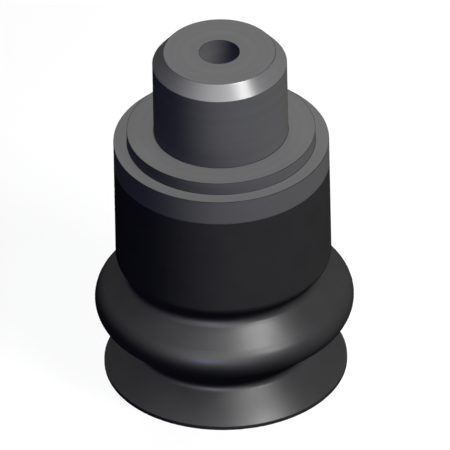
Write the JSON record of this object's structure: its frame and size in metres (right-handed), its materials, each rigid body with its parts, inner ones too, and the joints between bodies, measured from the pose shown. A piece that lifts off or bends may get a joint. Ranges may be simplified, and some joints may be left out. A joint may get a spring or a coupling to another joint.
{
  "type": "bellows suction cup",
  "caption": "Round vacuum cup: a dark turned metal fitting with a plain chamfered spigot and through bore, pushed into a black rubber bellows with a fold and a thin flared lip.",
  "frame": {"origin": "centre of the lip's bottom edge, on the cup's axis", "axes": "+Z along the axis from the lip to the spigot; +X and +Y free, because the part is turned about Z"},
  "size_m": [0.0192, 0.0192, 0.028],
  "materials": {
    "metal": "turned and dark anodised, satin, with fine tool rings",
    "rubber": "moulded black rubber, satin"
  },
  "bodies": {
    "root": {"fitting": "metal", "bellows": "rubber"}
  },
  "joints": []
}
